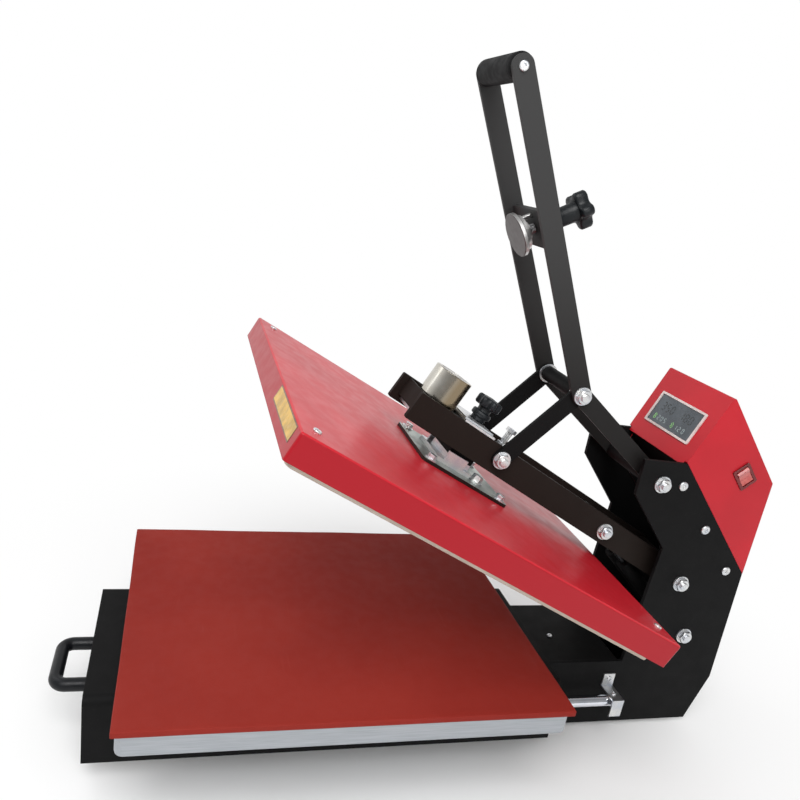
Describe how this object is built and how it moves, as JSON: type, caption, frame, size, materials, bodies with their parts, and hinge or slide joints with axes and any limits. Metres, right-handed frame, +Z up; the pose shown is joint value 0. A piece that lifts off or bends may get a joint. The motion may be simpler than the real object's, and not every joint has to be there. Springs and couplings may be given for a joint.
{
  "type": "clamshell heat press",
  "caption": "Clamshell heat press with a pull-out lower platen, a tilting heated upper platen under a toggle lever, gas springs and a sloping control box.",
  "frame": {"origin": "on the bench, below the middle of the machine's outline, machine open and drawer part-way out", "axes": "+Z up, -Y towards the operator's front and the drawer handle, +X to the machine's right-hand side with the power switch"},
  "size_m": [0.4276, 0.8824, 0.8198],
  "materials": {
    "black_paint": "satin powder coat with a fine texture",
    "red_paint": "semi-gloss powder coat",
    "zinc": "zinc plated",
    "steel": "turned",
    "chrome": "hard chromed",
    "nickel": "polished nickel plate",
    "aluminium": "machined and lightly brushed",
    "rubber": "matt",
    "grip_rubber": "matt",
    "silicone": "matt silicone sponge",
    "black_plastic": "fine moulded texture",
    "knob_plastic": "semi-matt phenolic",
    "bezel": "light grey moulding",
    "screen": "dark display window",
    "circuit_board": "lacquered",
    "relay": "moulded",
    "switch_red": "dark red moulding",
    "rocker": "translucent red, lit from inside",
    "bushing": "polymer bearing liner",
    "insulation": "ceramic fibre blanket"
  },
  "bodies": {
    "frame": {"right_side_plate": "black_paint", "left_side_plate": "black_paint", "base_tray": "black_paint", "base_top_plate": "black_paint", "rear_cover_panel": "black_paint", "cross_braces": "zinc", "pivot_shafts": "steel", "pivot_bolt_heads": "zinc", "pivot_spacers": "black_paint", "rubber_feet": "rubber", "guide_rods": "chrome", "rod_rear_brackets": "zinc", "rod_front_blocks": "aluminium", "frame_screws": "zinc", "control_box_shell": "red_paint", "display_bezel": "bezel", "display_screen": "screen", "controller_board": "circuit_board", "power_relay": "relay", "switch_housing": "switch_red", "power_inlet": "black_plastic"},
    "drawer": {"drawer_shell": "black_paint", "drawer_handle": "black_plastic", "bearing_blocks": "aluminium", "slide_bushings": "bushing", "lower_platen": "aluminium", "silicone_pad": "silicone", "drawer_fasteners": "zinc"},
    "arm": {"arm_bar_right": "black_paint", "arm_bar_left": "black_paint", "arm_cross_members": "black_paint", "pressure_nut_block": "zinc", "electromagnet": "nickel", "magnet_mount": "zinc", "height_stop_bolt": "zinc", "spring_pin": "zinc"},
    "platen": {"heat_platen_cover": "red_paint", "heat_platen": "aluminium", "heating_element": "steel", "insulation_blanket": "insulation", "cover_mount_plate": "zinc", "mount_plate_bolts": "zinc", "cover_screws": "zinc", "thrust_bracket": "zinc", "thrust_keeper": "black_paint"},
    "pressure_adjuster": {"pressure_screw": "steel", "pressure_knob": "knob_plastic"},
    "lever": {"lever_bars": "black_paint", "lever_grip": "grip_rubber", "knee_pin": "zinc", "knee_spacer": "black_paint", "grip_screws": "zinc", "lever_cross_plate": "black_paint"},
    "clamp_disc": {"armature_disc": "nickel"},
    "clamp_adjuster": {"clamp_knob": "knob_plastic"},
    "link": {"link_bars": "black_paint", "link_bolts": "zinc"},
    "spring_barrels": {"gas_spring_barrels": "black_paint"},
    "spring_rods": {"gas_spring_rods": "chrome"},
    "power_switch": {"power_rocker": "rocker"}
  },
  "joints": [
    {"name": "arm_hinge", "type": "hinge", "parent": "frame", "child": "arm", "pos_m": [0, 0.3437, 0.2317], "axis": [1, 0, 0], "range_deg": [0, 27.2], "stiffness_Nm_per_rad": 90, "springref_deg": -57.3},
    {"name": "lever_hinge", "type": "hinge", "parent": "frame", "child": "lever", "pos_m": [0, 0.2726, 0.3733], "axis": [1, 0, 0], "range_deg": [0, 62.6]},
    {"name": "link_hinge", "type": "hinge", "parent": "lever", "child": "link", "pos_m": [0, 0.1442, 0.475], "axis": [1, 0, 0], "range_deg": [-76.98, 0]},
    {"name": "spring_barrel_hinge", "type": "hinge", "parent": "frame", "child": "spring_barrels", "pos_m": [0, 0.3747, 0.1495], "axis": [1, 0, 0], "range_deg": [0, 17.01]},
    {"name": "spring_rod_slide", "type": "slide", "parent": "spring_barrels", "child": "spring_rods", "axis": [0, -0.7146, 0.6995], "range_m": [-0.02286, 0]},
    {"name": "drawer_slide", "type": "slide", "parent": "frame", "child": "drawer", "axis": [0, 1, 0], "range_m": [-0.2, 0.1]},
    {"name": "platen_height_slide", "type": "slide", "parent": "arm", "child": "platen", "axis": [0, 0.4571, 0.8894], "range_m": [-0.005, 0.006]},
    {"name": "pressure_screw_spin", "type": "hinge", "parent": "platen", "child": "pressure_adjuster", "pos_m": [0, 0.03202, 0.40121], "axis": [0, 0.4571, 0.8894], "range_deg": [-450, 540]},
    {"name": "clamp_disc_slide", "type": "slide", "parent": "lever", "child": "clamp_disc", "axis": [0, 0.8878, 0.4602], "range_m": [0, 0.007]},
    {"name": "clamp_knob_spin", "type": "hinge", "parent": "clamp_disc", "child": "clamp_adjuster", "pos_m": [0, 0.04784, 0.64437], "axis": [0, 0.8878, 0.4602], "range_deg": [0, 1260]},
    {"name": "power_switch_rock", "type": "hinge", "parent": "frame", "child": "power_switch", "pos_m": [0.0592, 0.3878, 0.3887], "axis": [0, 0.7593, 0.6508], "range_deg": [-14, 0]}
  ],
  "couplings": [
    {"joint": "lever_hinge", "follows": "arm_hinge", "ratio": 2.3015},
    {"joint": "link_hinge", "follows": "arm_hinge", "ratio": -2.8302},
    {"joint": "spring_barrel_hinge", "follows": "arm_hinge", "ratio": 0.62537},
    {"joint": "spring_rod_slide", "follows": "arm_hinge", "m_per_rad": -0.048154},
    {"joint": "pressure_screw_spin", "follows": "platen_height_slide", "rad_per_m": 1570.8},
    {"joint": "clamp_knob_spin", "follows": "clamp_disc_slide", "rad_per_m": 3141.6}
  ]
}
